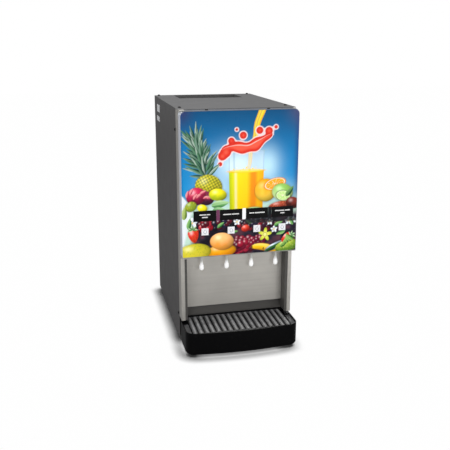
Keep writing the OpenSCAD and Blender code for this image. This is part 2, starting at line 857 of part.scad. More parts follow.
module drip_grille() {
    bar_pitch = 21;
    half_slot = 2.2;
    y0 = tray_y + 24;
    y1 = tray_back - 14;
    color("#8a8c8e") intersection() {
        translate([0, 0, grille_z - 5.8]) linear_extrude(20) tray_inside(4.5);
        union() {
            difference() {
                box([-half_w, tray_y, grille_z - 5.8], [half_w, tray_back, grille_z - 2.6]);
                for (i = [-9:8]) box([(i + 0.5) * bar_pitch - half_slot, y0, grille_z - 10],
                                     [(i + 0.5) * bar_pitch + half_slot, y1, grille_z + 5]);
            }
            intersection() {
                box([-half_w + 10, y0 - 3, grille_z - 5], [half_w - 10, y1 + 3, grille_z + 5]);
                for (i = [-8:8]) rod_y([i * bar_pitch, y0 - 3, grille_z - 8.2], 8.2, y1 - y0 + 6);
            }
        }
    }
}

module tray_feet() {
    color("black") for (x = [-half_w + 27, half_w - 27]) rod_z([x, tray_y + 42, 0], 11, tray_z + 30.8);
}

base_pan();
left_side_panel();
right_side_panel();
rear_panel();
top_cover();
top_vent_grille();
front_frame();
splash_panel();
bay_side_trims();
lower_front_panel();
feet();
compartment_liner();
concentrate_jugs();
jug_caps();
pump_housings();
pump_motors();
pump_rotor(0);  // pump_rotor_1
pump_rotor(1);  // pump_rotor_2
pump_rotor(2);  // pump_rotor_3
pump_rotor(3);  // pump_rotor_4
concentrate_tubes();
mixing_chambers();
nozzle(0);  // nozzle_1
nozzle(1);  // nozzle_2
nozzle(2);  // nozzle_3
nozzle(3);  // nozzle_4
solenoid_valves();
water_manifold();
water_bath_tank();
evaporator_coil();
agitator_motor();
agitator_rotor();
compressor();
condenser();
fan_motor();
fan_shroud();
fan_blade();
refrigerant_lines();
control_box();
water_inlet_fitting();
cord_gland();
power_rocker();
panel_screws();
hinge_brackets();
hinge_pins();
door_shell();
door_graphic();
door_liner();
door_gasket();
door_boards();
button_carrier();
flavour_cards();
door_screws();
button(0);  // button_1
button(1);  // button_2
button(2);  // button_3
button(3);  // button_4
drip_tray();
drip_grille();
tray_feet();
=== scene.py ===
"""Looks of the countertop juice dispenser: finishes, printed door art, labels, light, floor and camera.

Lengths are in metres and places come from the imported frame. The door art is painted in millimetres
from the print's lower left corner.
"""

import math

import bmesh
import bpy
import numpy as np
from mathutils import Euler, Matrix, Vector


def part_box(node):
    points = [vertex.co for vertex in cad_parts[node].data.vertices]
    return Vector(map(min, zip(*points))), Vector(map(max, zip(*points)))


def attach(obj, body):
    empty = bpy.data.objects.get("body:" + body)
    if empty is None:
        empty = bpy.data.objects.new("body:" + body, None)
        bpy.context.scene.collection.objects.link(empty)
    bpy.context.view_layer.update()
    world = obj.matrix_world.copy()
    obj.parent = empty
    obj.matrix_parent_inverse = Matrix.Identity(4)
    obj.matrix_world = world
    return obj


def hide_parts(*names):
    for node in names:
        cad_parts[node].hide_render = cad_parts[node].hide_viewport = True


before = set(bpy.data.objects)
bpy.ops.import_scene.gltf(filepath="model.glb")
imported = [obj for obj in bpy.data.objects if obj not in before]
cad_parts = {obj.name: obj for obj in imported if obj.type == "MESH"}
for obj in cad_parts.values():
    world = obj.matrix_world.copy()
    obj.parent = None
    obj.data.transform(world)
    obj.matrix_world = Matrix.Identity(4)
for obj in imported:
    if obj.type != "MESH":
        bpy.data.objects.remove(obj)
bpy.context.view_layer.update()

MM = 0.001
X, Y, Z = Vector((1, 0, 0)), Vector((0, 1, 0)), Vector((0, 0, 1))
GOLDEN_ANGLE = 2.39996  # in radians; it spreads points evenly in a spiral


def srgb(code):
    """A colour such as "a1b2c3" as three linear values."""
    parts = [int(code[i:i + 2], 16) / 255 for i in (0, 2, 4)]
    return [p / 12.92 if p < 0.04045 else ((p + 0.055) / 1.055) ** 2.4 for p in parts]


# ---------------- shader building


class Finish:
    """One material built from a few short calls. Patterns follow the rest shape, in metres."""

    def __init__(self, name, colour, roughness, metallic=0.0, coat=0.0):
        self.material = bpy.data.materials.new(name)
        self.material.use_nodes = True
        self.tree = self.material.node_tree
        self.bsdf = self.tree.nodes["Principled BSDF"]
        self.normal = None
        self.set("Base Color", (*srgb(colour), 1))
        self.set("Roughness", roughness)
        self.set("Metallic", metallic)
        self.set("Coat Weight", coat)
        self.set("Coat Roughness", 0.12)

    def node(self, kind, inputs=(), **settings):
        made = self.tree.nodes.new(kind)
        for key, value in settings.items():
            setattr(made, key, value)
        for key, value in dict(inputs).items():
            self.feed(made.inputs[key], value)
        return made

    def feed(self, socket, value):
        if isinstance(value, bpy.types.NodeSocket):
            self.tree.links.new(value, socket)
        else:
            socket.default_value = value

    def set(self, name, value):
        self.feed(self.bsdf.inputs[name], value)

    def lit(self, colour, strength):
        """A colour that also glows, with that strength."""
        self.set("Base Color", colour)
        self.set("Emission Color", colour)
        self.set("Emission Strength", strength)

    def place(self):
        return self.node("ShaderNodeTexCoord").outputs["Object"]

    def part(self, axis):
        """The coordinate along one axis, 0 to 2."""
        return self.node("ShaderNodeSeparateXYZ", {"Vector": self.place()}).outputs[axis]

    def noise(self, size, stretch=(1, 1, 1), detail=3.0, rough=0.55):
        """Cloudy noise with blobs of about the given size, drawn out along each axis by stretch."""
        scale = [1 / (size * s) for s in stretch]
        mapped = self.node("ShaderNodeMapping", {"Vector": self.place(), "Scale": scale})
        settings = {"Vector": mapped.outputs[0], "Scale": 1.0, "Detail": detail, "Roughness": rough}
        return self.node("ShaderNodeTexNoise", settings).outputs[0]

    def cells(self, size):
        """Distance to the nearest point of a scatter with that spacing, 0 at the points."""
        settings = {"Vector": self.place(), "Scale": 1 / size}
        return self.node("ShaderNodeTexVoronoi", settings).outputs["Distance"]

    def span(self, value, start, end, low=0.0, high=1.0):
        """Value from start to end, mapped to low to high and held there."""
        inputs = {"Value": value, "From Min": start, "From Max": end, "To Min": low, "To Max": high}
        return self.node("ShaderNodeMapRange", inputs, clamp=True).outputs[0]

    def uneven(self, size, low, high, detail=3.0):
        """A value that drifts between low and high over blobs of that size."""
        return self.span(self.noise(size, detail=detail), 0.3, 0.7, low, high)

    def maths(self, operation, a, b):
        return self.node("ShaderNodeMath", {0: a, 1: b}, operation=operation).outputs[0]

    def mix(self, share, a, b, how="MIX"):
        """Colour a turning into colour b, or b laid over a in another blend mode."""
        made = self.node("ShaderNodeMix", data_type="RGBA", blend_type=how)
        for key, value in zip((0, 6, 7), (share, a, b)):
            value = (*srgb(value), 1) if isinstance(value, str) else value
            self.feed(made.inputs[key], value)
        return made.outputs[2]

    def bands(self, value, stops):
        """Colours along a value, as (place, colour) pairs."""
        made = self.node("ShaderNodeValToRGB", {"Fac": value})
        ramp = made.color_ramp
        while len(ramp.elements) < len(stops):
            ramp.elements.new(1.0)
        for element, (place, code) in zip(ramp.elements, stops):
            element.position = place
            element.color = (*srgb(code), 1)
        return made.outputs[0]

    def times(self, colour, value):
        grey = self.node("ShaderNodeCombineColor", {0: value, 1: value, 2: value}).outputs[0]
        return self.mix(1.0, colour, grey, "MULTIPLY")

    def tone(self, colour, spread, size):
        """Uneven colour: darker and lighter by spread over patches of that size."""
        return self.times(colour, self.uneven(size, 1 - spread, 1 + spread, 4.0))

    def bump(self, height, depth, strength):
        """Adds relief of that depth on top of any relief made before."""
        inputs = {"Height": height, "Distance": depth, "Strength": strength}
        if self.normal is not None:
            inputs["Normal"] = self.normal
        self.normal = self.node("ShaderNodeBump", inputs).outputs[0]
        self.set("Normal", self.normal)


# ---------------- finishes


def painted_sheet(name, colour, roughness=0.42):
    """Powder coat: fine orange peel, uneven tone, a few pale specks of wear."""
    f = Finish(name, colour, roughness)
    specks = f.span(f.noise(0.003, detail=2.0), 0.72, 0.78)
    patchy = f.tone(colour, 0.018, 0.4)
    f.set("Base Color", f.mix(f.maths("MULTIPLY", specks, 0.10), patchy, "9a9a9a"))
    f.set("Roughness", f.uneven(0.05, roughness - 0.02, roughness + 0.03))
    f.bump(f.noise(0.0016, detail=2.0), 0.00005, 0.15)
    return f.material


def brushed_steel(name, colour, grain, roughness=0.36, metallic=0.7):
    """Stainless sheet: streaks along the grain, faint clouding, small handling marks."""
    f = Finish(name, colour, roughness, metallic)
    streaks = f.noise(0.0009, grain, 4.0, 0.7)
    broad = f.noise(0.006, grain, 2.0)
    clouds = f.tone(colour, 0.05, 0.09)
    lined = f.mix(f.span(streaks, 0.3, 0.7, 0.0, 0.12), clouds, "ffffff", "OVERLAY")
    f.set("Base Color", f.mix(f.span(broad, 0.35, 0.65, 0.0, 0.05), lined, "55534f"))
    f.set("Roughness", f.span(streaks, 0.25, 0.75, roughness - 0.06, roughness + 0.08))
    f.bump(streaks, 0.00004, 0.4)
    return f.material


def door_skin(name):
    """The door's silver paint, darker grey along its top edge, with painted shade along its bottom edge."""
    f = Finish(name, "d3d8e2", 0.34, metallic=0.1)
    foot, top = (corner.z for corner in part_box("door_shell"))
    height = f.part(2)
    silver = f.tone("d3d8e2", 0.05, 0.06)
    topped = f.mix(f.span(height, top - 3 * MM, top - 2 * MM), silver, "646a74")
    # The bottom few millimetres are painted darker: painted shade along the door's lower edge.
    f.set("Base Color", f.mix(f.span(height, foot + 4 * MM, foot + 3 * MM), topped, "a3a39e"))
    f.set("Roughness", f.uneven(0.03, 0.3, 0.42))
    f.bump(f.noise(0.0012, detail=2.0), 0.00008, 0.4)
    return f.material


def moulded(name, colour, roughness, grain=0.0008, depth=0.00008, coat=0.0, spread=0.05, specular=0.5):
    """Moulded plastic or rubber: fine texture, uneven gloss, faint tone changes."""
    f = Finish(name, colour, roughness, coat=coat)
    f.set("Specular IOR Level", specular)
    f.set("Base Color", f.tone(colour, spread, 0.05))
    f.set("Roughness", f.uneven(0.02, roughness - 0.06, roughness + 0.08))
    f.bump(f.noise(grain, detail=2.0), depth, 0.6)
    return f.material


def bright_white(name, colour):
    """White plastic, lit a little from behind."""
    f = Finish(name, colour, 0.3, coat=0.2)
    f.lit(f.tone(colour, 0.02, 0.01), 0.15)
    f.set("Roughness", f.uneven(0.01, 0.24, 0.38))
    f.bump(f.noise(0.0012, detail=2.0), 0.00005, 0.4)
    return f.material


def tray_plastic(name):
    """Black plastic with little shine: fine pebble grain, hairline scratches, dried water marks."""
    f = Finish(name, "030304", 0.36)
    marks = f.span(f.cells(0.03), 0.02, 0.16)
    f.set("Base Color", f.mix(f.span(marks, 0.0, 1.0, 0.02, 0.0), "030304", "7b7d80"))
    f.set("Specular IOR Level", 0.12)
    scratches = f.span(f.noise(0.0012, (14, 1, 2), 3.0), 0.62, 0.7)
    f.set("Roughness", f.span(scratches, 0.0, 1.0, 0.34, 0.5))
    f.bump(f.noise(0.0011, detail=2.0), 0.0001, 0.5)
    return f.material


def grille_paint(name):
    """Grey enamel on the drip grille, pale along the rib crests and dark in the valleys: painted highlights
    and painted shade.
    """
    f = Finish(name, "7c7c7c", 0.38)
    low, high = (corner.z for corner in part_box("drip_grille"))
    # Paler towards the rib crests and darker in the valleys: painted highlight and painted shade, with a
    # random mottle added on top.
    rise = f.span(f.part(2), low + 2.6 * MM, high)
    crest_light_and_mottle = f.maths("ADD", rise, f.uneven(0.02, -0.22, 0.22, 4.0))
    greys = [(0.0, "3c3c3d"), (0.45, "626263"), (0.8, "858586"), (1.0, "a6a6a6")]
    f.set("Base Color", f.bands(crest_light_and_mottle, greys))
    f.set("Roughness", f.uneven(0.01, 0.28, 0.45))
    f.bump(f.noise(0.0012, detail=2.0), 0.00008, 0.4)
    return f.material


def nozzle_white(name):
    """White tips with a painted glow, strongest at the drop and fainter up the neck, which is tinted a
    duller grey.
    """
    f = Finish(name, "fbfbfa", 0.3, coat=0.2)
    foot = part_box("nozzle_1")[0].z
    neck = f.span(f.part(2), foot + 20 * MM, foot + 34 * MM)
    shade = f.tone(f.mix(neck, "fbfbfa", "cfcfcb"), 0.02, 0.02)
    # The glow is painted light, stronger at the drop than up the neck.
    f.lit(shade, f.span(neck, 0.0, 1.0, 0.4, 0.18))
    f.bump(f.noise(0.0015, detail=2.0), 0.00005, 0.4)
    return f.material


def cast_metal(name, colour, roughness, metallic=1.0):
    """Plain metal: blotchy tarnish and a slightly rough skin."""
    f = Finish(name, colour, roughness, metallic)
    tarnish = f.span(f.noise(0.015, detail=5.0), 0.45, 0.7)
    f.set("Base Color", f.mix(f.maths("MULTIPLY", tarnish, 0.35), colour, "3a332c"))
    f.set("Roughness", f.uneven(0.008, roughness - 0.1, roughness + 0.12))
    f.bump(f.noise(0.0009), 0.00006, 0.5)
    return f.material


def jug_plastic(name):
    """Milky jugs with concentrate inside, one flavour for each jug."""
    f = Finish(name, "f4f1e6", 0.35)
    jugs_low, jugs_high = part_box("concentrate_jugs")
    across = f.span(f.part(0), jugs_low.x, jugs_high.x)
    juice = f.bands(across, [(0.0, "d98a1c"), (0.25, "b4302a"), (0.5, "7a2346"), (0.75, "d9b62a")])
    f.tree.nodes["Color Ramp"].color_ramp.interpolation = "CONSTANT"
    level = jugs_low.z + 0.72 * (jugs_high.z - jugs_low.z)
    filled = f.span(f.part(2), level - MM, level + MM, 1.0, 0.0)
    tinted = f.mix(0.62, "f4f1e6", juice)
    f.set("Base Color", f.tone(f.mix(filled, "efece0", tinted), 0.04, 0.05))
    f.set("Subsurface Weight", 0.15)
    f.set("Subsurface Radius", (0.004, 0.003, 0.002))
    f.bump(f.noise(0.01, detail=2.0), 0.0004, 0.4)
    return f.material


def circuit_board(name):
    """Green solder mask with copper tracks showing as fine lines."""
    f = Finish(name, "2f6b3c", 0.35)
    tracks = f.node("ShaderNodeTexBrick", {"Vector": f.place(), "Scale": 180.0, "Mortar Size": 0.03})
    f.feed(tracks.inputs["Color1"], (*srgb("2f6b3c"), 1))
    f.feed(tracks.inputs["Color2"], (*srgb("2a6238"), 1))
    f.feed(tracks.inputs["Mortar"], (*srgb("5a8f57"), 1))
    f.set("Base Color", tracks.outputs[0])
    f.bump(tracks.outputs[1], 0.00005, 0.6)
    return f.material


def print_film(name):
    """Printed film with little shine over a dimly lit panel: ink dots, fine film ripple."""
    f = Finish(name, "1f86c4", 0.3, coat=0.03)
    f.set("Specular IOR Level", 0.08)
    ink = f.node("ShaderNodeAttribute", attribute_name="Art").outputs["Color"]
    dots = f.span(f.cells(0.0011), 0.1, 0.5, 0.95, 1.03)
    f.lit(f.times(ink, dots), 0.30)
    f.set("Roughness", f.uneven(0.03, 0.26, 0.38))
    f.bump(f.noise(0.012, detail=1.0), 0.0001, 0.25)
    return f.material


def make_finishes():
    """A finish for each material slot of the CAD, and for the small new pieces."""
    # The function that makes each one, with the settings it takes after the name
    recipes = {
        "painted_sheet": (painted_sheet, "4f4d4d"),
        "painted_top": (painted_sheet, "5e5d5d"),
        "stainless": (brushed_steel, "cdc9c1", (60, 60, 1)),
        "black_plastic": (moulded, "0e0e0f", 0.45),
        "dark_plastic": (moulded, "2b2d30", 0.42),
        "dark_trim": (painted_sheet, "504e4b", 0.4),
        "rubber": (moulded, "151515", 0.75, 0.0012, 0.00015),
        "white_liner": (moulded, "e6e7e4", 0.34, 0.0025, 0.00012, 0.0, 0.015),
        "jug_plastic": (jug_plastic,),
        "clear_acetal": (moulded, "c9cbc8", 0.22, 0.004),
        "motor_metal": (cast_metal, "6a6e74", 0.42),
        "white_plastic": (nozzle_white,),
        "silicone_tube": (moulded, "e4dfcf", 0.35, 0.003, 0.0001),
        "valve_metal": (cast_metal, "b4b3ad", 0.35),
        "copper": (cast_metal, "b5693d", 0.32),
        "brass": (cast_metal, "b6924e", 0.32),
        "black_enamel": (moulded, "141517", 0.28, 0.003, 0.0001, 0.5),
        "fin_aluminium": (cast_metal, "a9aeb3", 0.38),
        "red_plastic": (moulded, "8d1515", 0.3),
        "black_steel": (cast_metal, "1a1a1b", 0.4, 0.6),
        "door_silver": (door_skin,),
        "print_film": (print_film,),
        "board_green": (circuit_board,),
        "card_black": (moulded, "050506", 0.4, 0.002, 0.00005, 0.0, 0.05, 0.1),
        "button_white": (bright_white, "f1f1f5"),
        "tray_black": (tray_plastic,),
        "grille_grey": (grille_paint,),
        "label_metal": (brushed_steel, "f4f5f6", (1, 40, 1), 0.4, 0.15),
        "card_ink": (moulded, "f2f2f0", 0.4, 0.001, 0.00003, 0.0, 0.03),
        "button_ink": (moulded, "b7bcc4", 0.4, 0.001, 0.00003, 0.0, 0.03),
    }
    return {name: make(f"{name}_finish", *settings) for name, (make, *settings) in recipes.items()}


# ---------------- CAD surfaces


def clean_shading():
    """A modifier group that joins split vertices and shades a mesh smooth up to an edge angle."""
    group = bpy.data.node_groups.new("clean_shading", "GeometryNodeTree")
    for way in ("INPUT", "OUTPUT"):
        group.interface.new_socket("Geometry", in_out=way, socket_type="NodeSocketGeometry")
    nodes = group.nodes
    start, end = nodes.new("NodeGroupInput"), nodes.new("NodeGroupOutput")
    strip = nodes.new("GeometryNodeRemoveAttribute")
    strip.inputs["Name"].default_value = "custom_normal"
    merge = nodes.new("GeometryNodeMergeByDistance")
    merge.inputs["Distance"].default_value = 0.01 * MM
    smooth = nodes.new("GeometryNodeSetShadeSmooth")
    smooth.domain = "FACE"
    sharpen = nodes.new("GeometryNodeSetShadeSmooth")
    sharpen.domain = "EDGE"
    sharpen.inputs["Shade Smooth"].default_value = False
    angle = nodes.new("GeometryNodeInputMeshEdgeAngle")
    sharp = nodes.new("FunctionNodeCompare")
    sharp.operation = "GREATER_THAN"
    sharp.inputs["B"].default_value = math.radians(32)
    chain = [start, strip, merge, smooth, sharpen, end]
    for before, after in zip(chain, chain[1:]):
        group.links.new(before.outputs[0], after.inputs[0])
    group.links.new(angle.outputs["Unsigned Angle"], sharp.inputs["A"])
    group.links.new(sharp.outputs[0], sharpen.inputs["Selection"])
    return group


# Edge rounding in millimetres, for the parts whose edges can be seen
ROUNDED = {
    "left_side_panel": 0.6, "right_side_panel": 0.6, "rear_panel": 0.5,
    "top_vent_grille": 0.4, "front_frame": 0.8, "splash_panel": 0.4, "bay_side_trims": 0.5,
    "lower_front_panel": 0.4, "feet": 0.6, "hinge_brackets": 0.6, "door_shell": 0.6,
    "door_liner": 1.0, "door_gasket": 1.5, "button_carrier": 0.4, "flavour_cards": 0.3,
    **{f"button_{k}": 0.9 for k in (1, 2, 3, 4)},
    "drip_tray": 2.0, "drip_grille": 0.7, "tray_feet": 0.6, "compartment_liner": 2.5,
    "concentrate_jugs": 3.0, "jug_caps": 0.8, "control_box": 0.8, "power_rocker": 0.8,
    "pump_housings": 0.8, "pump_motors": 0.8, "water_inlet_fitting": 0.5, "cord_gland": 0.5,
    "mixing_chambers": 0.5, "panel_screws": 0.2, "door_screws": 0.2, "base_pan": 0.5,
}


def round_edges(piece, width):
    bevel = piece.modifiers.new("edges", "BEVEL")
    bevel.width = width * MM
    bevel.segments = 2
    bevel.limit_method = "ANGLE"
    bevel.angle_limit = math.radians(38)
    bevel.harden_normals = True


def finish_cad_nodes(finishes):
    shading = clean_shading()
    for name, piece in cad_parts.items():
        for held in piece.material_slots:
            slot = held.material.name.split(".")[0]
            held.material = finishes[slot]
        modifier = piece.modifiers.new("shading", "NODES")
        modifier.node_group = shading
        if name in ROUNDED:
            round_edges(piece, ROUNDED[name])


# ---------------- door art


def lattice_noise(x, z, size, seed=0):
    """Smooth noise from 0 to 1 on a square lattice of that size."""
    gx, gz = x / size, z / size
    ix, iz = np.floor(gx), np.floor(gz)
    fx, fz = gx - ix, gz - iz
    fx, fz = fx * fx * (3 - 2 * fx), fz * fz * (3 - 2 * fz)

    def corner(dx, dz):
        wave = np.sin((ix + dx) * 127.1 + (iz + dz) * 311.7 + seed * 74.7) * 43758.5453
        return wave - np.floor(wave)

    low = corner(0, 0) * (1 - fx) + corner(1, 0) * fx
    high = corner(0, 1) * (1 - fx) + corner(1, 1) * fx
    return low * (1 - fz) + high * fz


def inside(distance, softness=1.6):
    """1 inside a shape, 0 outside, with a soft edge. Distance is negative inside."""
    return np.clip(0.5 - distance / softness, 0, 1)


class Art:
    """A picture painted with formulas on points. x and z are in millimetres, colours are linear."""

    def __init__(self, x, z, width, height):
        self.x, self.z = x, z
        self.width, self.height = width, height
        self.colour = np.zeros((len(x), 3))

    def at(self, u, v):
        """Millimetres of a place given as shares of the print's width and height."""
        return u * self.width, v * self.height

    def local(self, u, v, turn=0.0):
        """Coordinates round a place, turned anticlockwise by that many degrees."""
        cx, cz = self.at(u, v)
        c, s = math.cos(math.radians(turn)), math.sin(math.radians(turn))
        dx, dz = self.x - cx, self.z - cz
        return dx * c + dz * s, dz * c - dx * s

    def paint(self, share, colour):
        if isinstance(colour, str):
            colour = srgb(colour)
        share = np.clip(share, 0, 1)[:, None]
        self.colour = self.colour * (1 - share) + np.asarray(colour) * share

    def blend(self, value, stops):
        """Colours along a value, as (place, colour) pairs in rising order."""
        places = [p for p, _ in stops]
        table = np.array([srgb(c) for _, c in stops])
        return np.stack([np.interp(value, places, table[:, i]) for i in range(3)], axis=1)

    def glow(self, u, v, wide, tall, colour, strength):
        p, q = self.local(u, v)
        self.paint(strength * np.exp(-((p / wide) ** 2 + (q / tall) ** 2)), colour)

    def shaded(self, share, colour, u, v, wide, tall, shine):
        """Paints a rounded form round a place, lit from the upper left."""
        p, q = self.local(u, v)
        a, b = p / wide, q / tall
        bulge = np.sqrt(np.clip(1 - a * a - b * b, 0, 1))
        lit = np.clip(0.42 + 0.62 * bulge - 0.22 * a + 0.3 * b, 0.1, 1.25)
        spot = shine * np.exp(-((a + 0.32) ** 2 + (b - 0.42) ** 2) / 0.06)
        base = np.asarray(srgb(colour) if isinstance(colour, str) else colour)
        self.paint(share, base * lit[:, None] + spot[:, None])

    def fruit(self, u, v, wide, tall, colour, turn=0.0, shine=0.35, speckle=None, under=None):
        """A round or oval fruit, with a second colour on its lower side and speckles if given."""
        p, q = self.local(u, v, turn)
        distance = (np.hypot(p / wide, q / tall) - 1) * min(wide, tall)
        body = np.tile(srgb(colour), (len(self.x), 1))
        if under:
            low = np.clip(0.5 - q / tall + 0.5 * (lattice_noise(p, q, wide / 3) - 0.5), 0, 1)[:, None]
            body = body * (1 - low) + np.array(srgb(under)) * low
        if speckle:
            specks = np.clip(lattice_noise(p, q, 3.2, 3) * 3 - 1.9, 0, 1)[:, None]
            body = body * (1 - specks) + np.array(srgb(speckle)) * specks
        reach = max(wide, tall)
        self.paint(inside(distance - 2.5, 8) * 0.35, "10141a")
        self.shaded(inside(distance), body, u, v, reach, min(reach, tall * 1.1), shine)

    def leaf(self, u, v, length, wide, turn, colour, light="cfe3c4"):
        """A pointed leaf from its root outwards, with a pale rib."""
        p, q = self.local(u, v, turn)
        along = np.clip(p / length, 0, 1)
        half = wide / 2 * np.sin(np.pi * along ** 0.75) ** 0.8
        distance = np.abs(q) - half
        outside_ends = np.maximum(-p, p - length)
        share = inside(np.maximum(distance, outside_ends), 1.2)
        toned = self.blend(q / wide + 0.25 * along, [(-0.5, "0b2a1a"), (0.0, colour), (0.55, light)])
        self.paint(share, toned)
        self.paint(share * np.exp(-(q / (0.05 * wide + 0.3)) ** 2) * 0.5, light)

    def slice(self, u, v, radius, rind, flesh, squeeze=1.0, turn=0.0, segments=10):
        """A cut citrus fruit: rind, white pith and wedges of flesh."""
        p, q = self.local(u, v, turn)
        q = q / squeeze
        r = np.hypot(p, q)
        self.paint(inside(r - radius - 2, 8) * 0.3, "10141a")
        self.paint(inside(r - radius), rind)
        self.paint(inside(r - radius * 0.9), "f6f2da")
        wedge = np.abs(np.sin(np.arctan2(q, p) * segments / 2)) * r
        pulp = np.array(srgb(flesh)) * (0.85 + 0.4 * lattice_noise(p, q, 3.0, 5))[:, None]
        self.paint(inside(r - radius * 0.83) * inside(1.6 - wedge) * inside(2.0 - r), pulp)

    def strawberry(self, u, v, size, turn):
        p, q = self.local(u, v, turn)
        half = size * 0.62 * np.sqrt(np.clip(1 - ((q - 0.12 * size) / (0.9 * size)) ** 2, 0, 1)) * (
            0.75 + 0.35 * np.clip(q / size + 0.5, 0, 1))
        share = inside(np.maximum(np.abs(p) - half, np.abs(q - 0.1 * size) - 0.9 * size))
        self.shaded(share, "d21a1c", u, v, size * 0.8, size, 0.5)
        column = np.abs((p / 4.2 + 0.5 * np.floor(q / 4.6)) % 1 - 0.5) * 4.2
        row = np.abs((q / 4.6) % 1 - 0.5) * 4.6
        self.paint(share * inside(np.hypot(column, row) - 0.55, 0.9) * 0.8, "f3c94a")
        tilt = math.radians(turn + 90)
        root_u = u + 0.75 * size * math.cos(tilt) / self.width
        root_v = v + 0.75 * size * math.sin(tilt) / self.height
        for lean in (-97.5, -52.5, 0, 52.5, 97.5):
            self.leaf(root_u, root_v, size * 0.6, size * 0.28, turn + 90 + lean, "3f8a2e")

    def cluster(self, u, v, wide, tall, size, colours, seed, count):
        """Berries packed in a sunflower spiral, back to front."""
        draw = np.random.default_rng(seed)
        for k in range(count, 0, -1):
            reach, heading = math.sqrt(k / count), k * GOLDEN_ANGLE
            berry_u = u + wide * reach * math.cos(heading) / self.width
            berry_v = v + tall * reach * math.sin(heading) / self.height
            radius = size * (0.8 + 0.4 * draw.random())
            shade = colours[int(draw.integers(len(colours)))]
            self.fruit(berry_u, berry_v, radius, radius, shade, shine=0.5)

    def banana(self, u, v, bend, thick, start, end, colour="f6c51c"):
        """A crescent: an arc round a centre, from one angle to another, thinning to dark tips."""
        p, q = self.local(u, v)
        heading = np.degrees(np.arctan2(q, p))
        along = np.clip((heading - start) / (end - start), 0, 1)
        half = thick / 2 * np.clip(np.sin(np.pi * along), 0, 1) ** 0.45
        r = np.hypot(p, q) - bend
        past = np.maximum(start - heading, heading - end) * bend * math.pi / 180
        share = inside(np.maximum(np.abs(r) - half, past))
        toned = self.blend(r / thick, [(-0.5, "b9790c"), (0.0, colour), (0.35, "ffe56a"), (0.5, "d99a10")])
        self.paint(share, toned)
        self.paint(share * (inside(along * 100 - 5, 4) + inside(95 - along * 100, 4)), "4a3a1c")


def paint_background(art):
    v = art.z / art.height
    u = art.x / art.width
    sky = [(0.0, "2b7fa8"), (0.3, "1c8fc4"), (0.5, "0688c8"), (0.7, "0077b4"),
           (0.85, "006298"), (1.0, "004a77")]
    art.paint(np.ones(len(v)), art.blend(v, sky))
    # Darker navy towards the right edge, the top corners and the left edge: painted shade where the panel's
    # backlight falls off.
    art.paint(np.clip((u - 0.945) / 0.055, 0, 1) ** 1.5 * 0.9, "1d3f78")
    for side, colour in ((0.0, "33305c"), (1.0, "4a4a6c")):
        art.glow(side, 1.02, 36, 56, colour, 0.85)
    art.paint(np.clip((0.02 - u) / 0.02, 0, 1) * 0.4, "0a4a86")
    art.glow(0.47, 0.63, 84, 56, "d2f0fb", 0.95)
    art.glow(0.73, 0.62, 42, 58, "c4ebfa", 0.85)
    art.glow(0.30, 0.46, 54, 46, "cdeef6", 0.75)
    art.glow(0.80, 0.45, 56, 32, "d9f2da", 0.7)
    art.paint(inside(v * 100 - 39, 10) * 0.8, "cfe9cf")
    slant = art.x - 34 - 0.25 * (art.z - 160)
    art.paint(inside(slant, 9) * inside(art.z - 215 + 1.2 * art.x, 6) * 0.95, "e6ecf2")


def paint_stream(art):
    """Juice falling from the top edge into the glass."""
    top, foot = art.at(0.675, 1.0), art.at(0.565, 0.60)
    t = (art.z - foot[1]) / (top[1] - foot[1])
    middle = foot[0] + (top[0] - foot[0]) * np.clip(t, 0, 2) ** 1.25 + 2.2 * np.sin(t * 14)
    half = 6.5 + 6.0 * np.clip(t, 0, 1) ** 1.5
    across = (art.x - middle) / half
    share = inside((np.abs(across) - 1) * half) * inside(foot[1] - art.z)
    tone = art.blend(across, [(-1, "d7a51a"), (-0.5, "f6d548"), (-0.1, "c9b04a"),
                              (0.3, "ffdf3a"), (1, "e39b16")])
    art.paint(share * (0.55 + 0.45 * np.clip(t * 1.6, 0, 1)), tone)


def paint_glass(art):
    left, right = art.at(0.395, 0)[0], art.at(0.705, 0)[0]
    rim, level, foot = (art.at(0, v)[1] for v in (0.73, 0.592, 0.315))
    middle, half_top = (left + right) / 2, (right - left) / 2
    half = half_top * (0.93 + 0.07 * (art.z - foot) / (rim - foot))
    a = (art.x - middle) / half
    curve = 5.0 * np.sqrt(np.clip(1 - a * a, 0, 1))
    wall = (np.abs(a) - 1) * half
    juice = inside(wall) * inside(art.z - level - curve) * inside(foot - curve - art.z)
    tone = art.blend(a, [(-1, "a8bd10"), (-0.8, "d8d90c"), (-0.45, "f7d90f"), (0.05, "fbcf12"),
                         (0.3, "f0900c"), (0.5, "ec8a10"), (0.68, "f9b80e"), (1, "e8a40e")])
    depth = 0.86 + 0.22 * np.clip((art.z - foot) / (level - foot), 0, 1)
    art.paint(juice, tone * depth[:, None])
    art.paint(juice * np.exp(-((a + 0.62) / 0.07) ** 2) * 0.35, "ffffff")
    surface = inside((np.hypot(a, (art.z - level) / 6.0) - 1) * 6.0)
    art.paint(surface * 0.85, "ffe03c")
    art.paint(inside(np.abs(np.hypot(a, (art.z - level) / 6.0) - 1) * 6 - 0.7) * 0.6, "f4a90e")
    empty = inside(wall) * inside(art.z - rim) * inside(level - art.z)
    art.paint(empty * 0.22, "ffffff")
    art.paint(empty * np.exp(-((np.abs(a) - 0.97) / 0.03) ** 2) * 0.55, "7fa9bb")
    art.paint(inside(np.abs(np.hypot(a, (art.z - rim) / 5.0) - 1) * 5 - 0.8) * 0.5, "8fb4c4")
    art.paint(empty * np.exp(-((a + 0.7) / 0.05) ** 2) * 0.4, "5f8fa5")
    for k in range(9):
        x, z = left + 18 + 11 * k, level + 7 + 5 * math.sin(k * 2.1)
        r = np.hypot(art.x - x, art.z - z)
        art.paint(inside(r - 2.6 - 1.2 * math.sin(k * 5.3)) * 0.8, "ffd93a")


